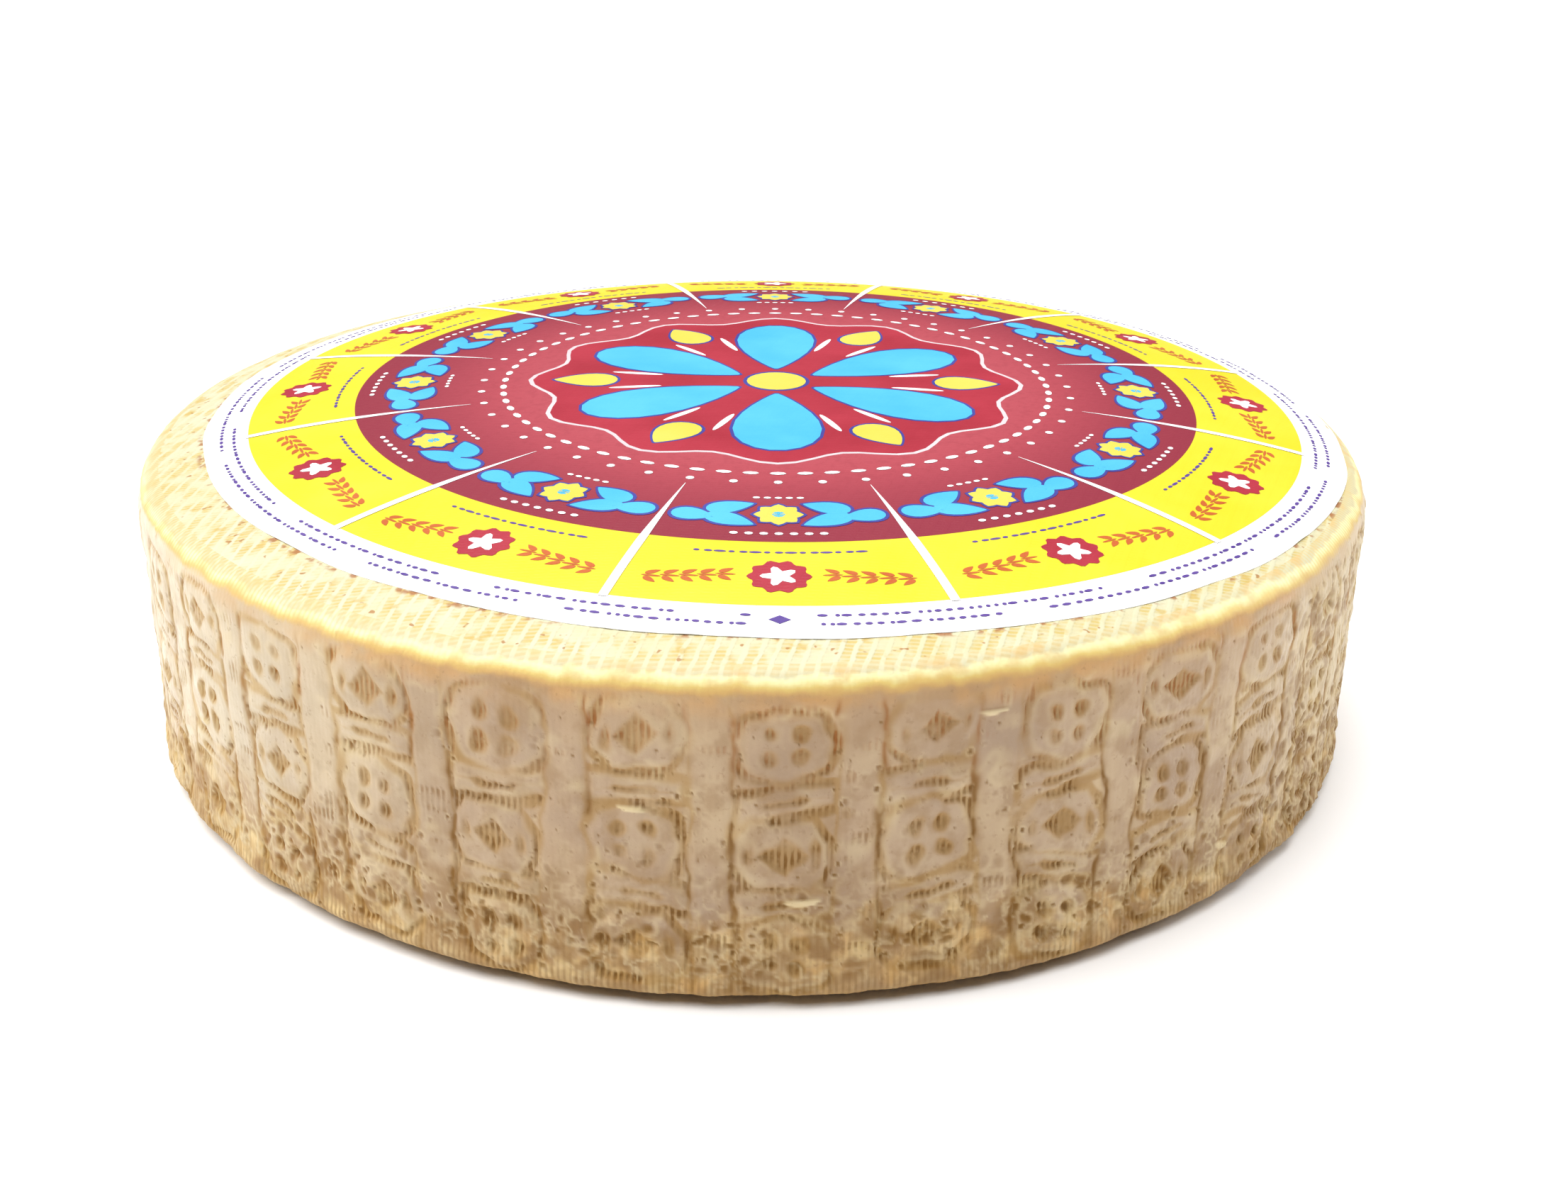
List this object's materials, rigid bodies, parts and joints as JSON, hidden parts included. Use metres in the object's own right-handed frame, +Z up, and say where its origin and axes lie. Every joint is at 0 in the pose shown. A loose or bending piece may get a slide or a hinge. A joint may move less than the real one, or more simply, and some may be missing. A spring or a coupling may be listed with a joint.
{
  "type": "cheese wheel",
  "caption": "Low round wheel of aged hard cheese with a crowned top, a side moulded in columns of raised ornaments and a round printed paper label.",
  "frame": {"origin": "centre of the flat base that the wheel stands on", "axes": "+Z up along the wheel's axis, -Y towards the side that faces the viewer"},
  "size_m": [0.28, 0.2806, 0.075],
  "materials": {
    "rind": "satin, waxy",
    "label_paper": "coated paper, printed"
  },
  "bodies": {
    "root": {"cheese_wheel": "rind", "label": "label_paper"}
  },
  "joints": []
}
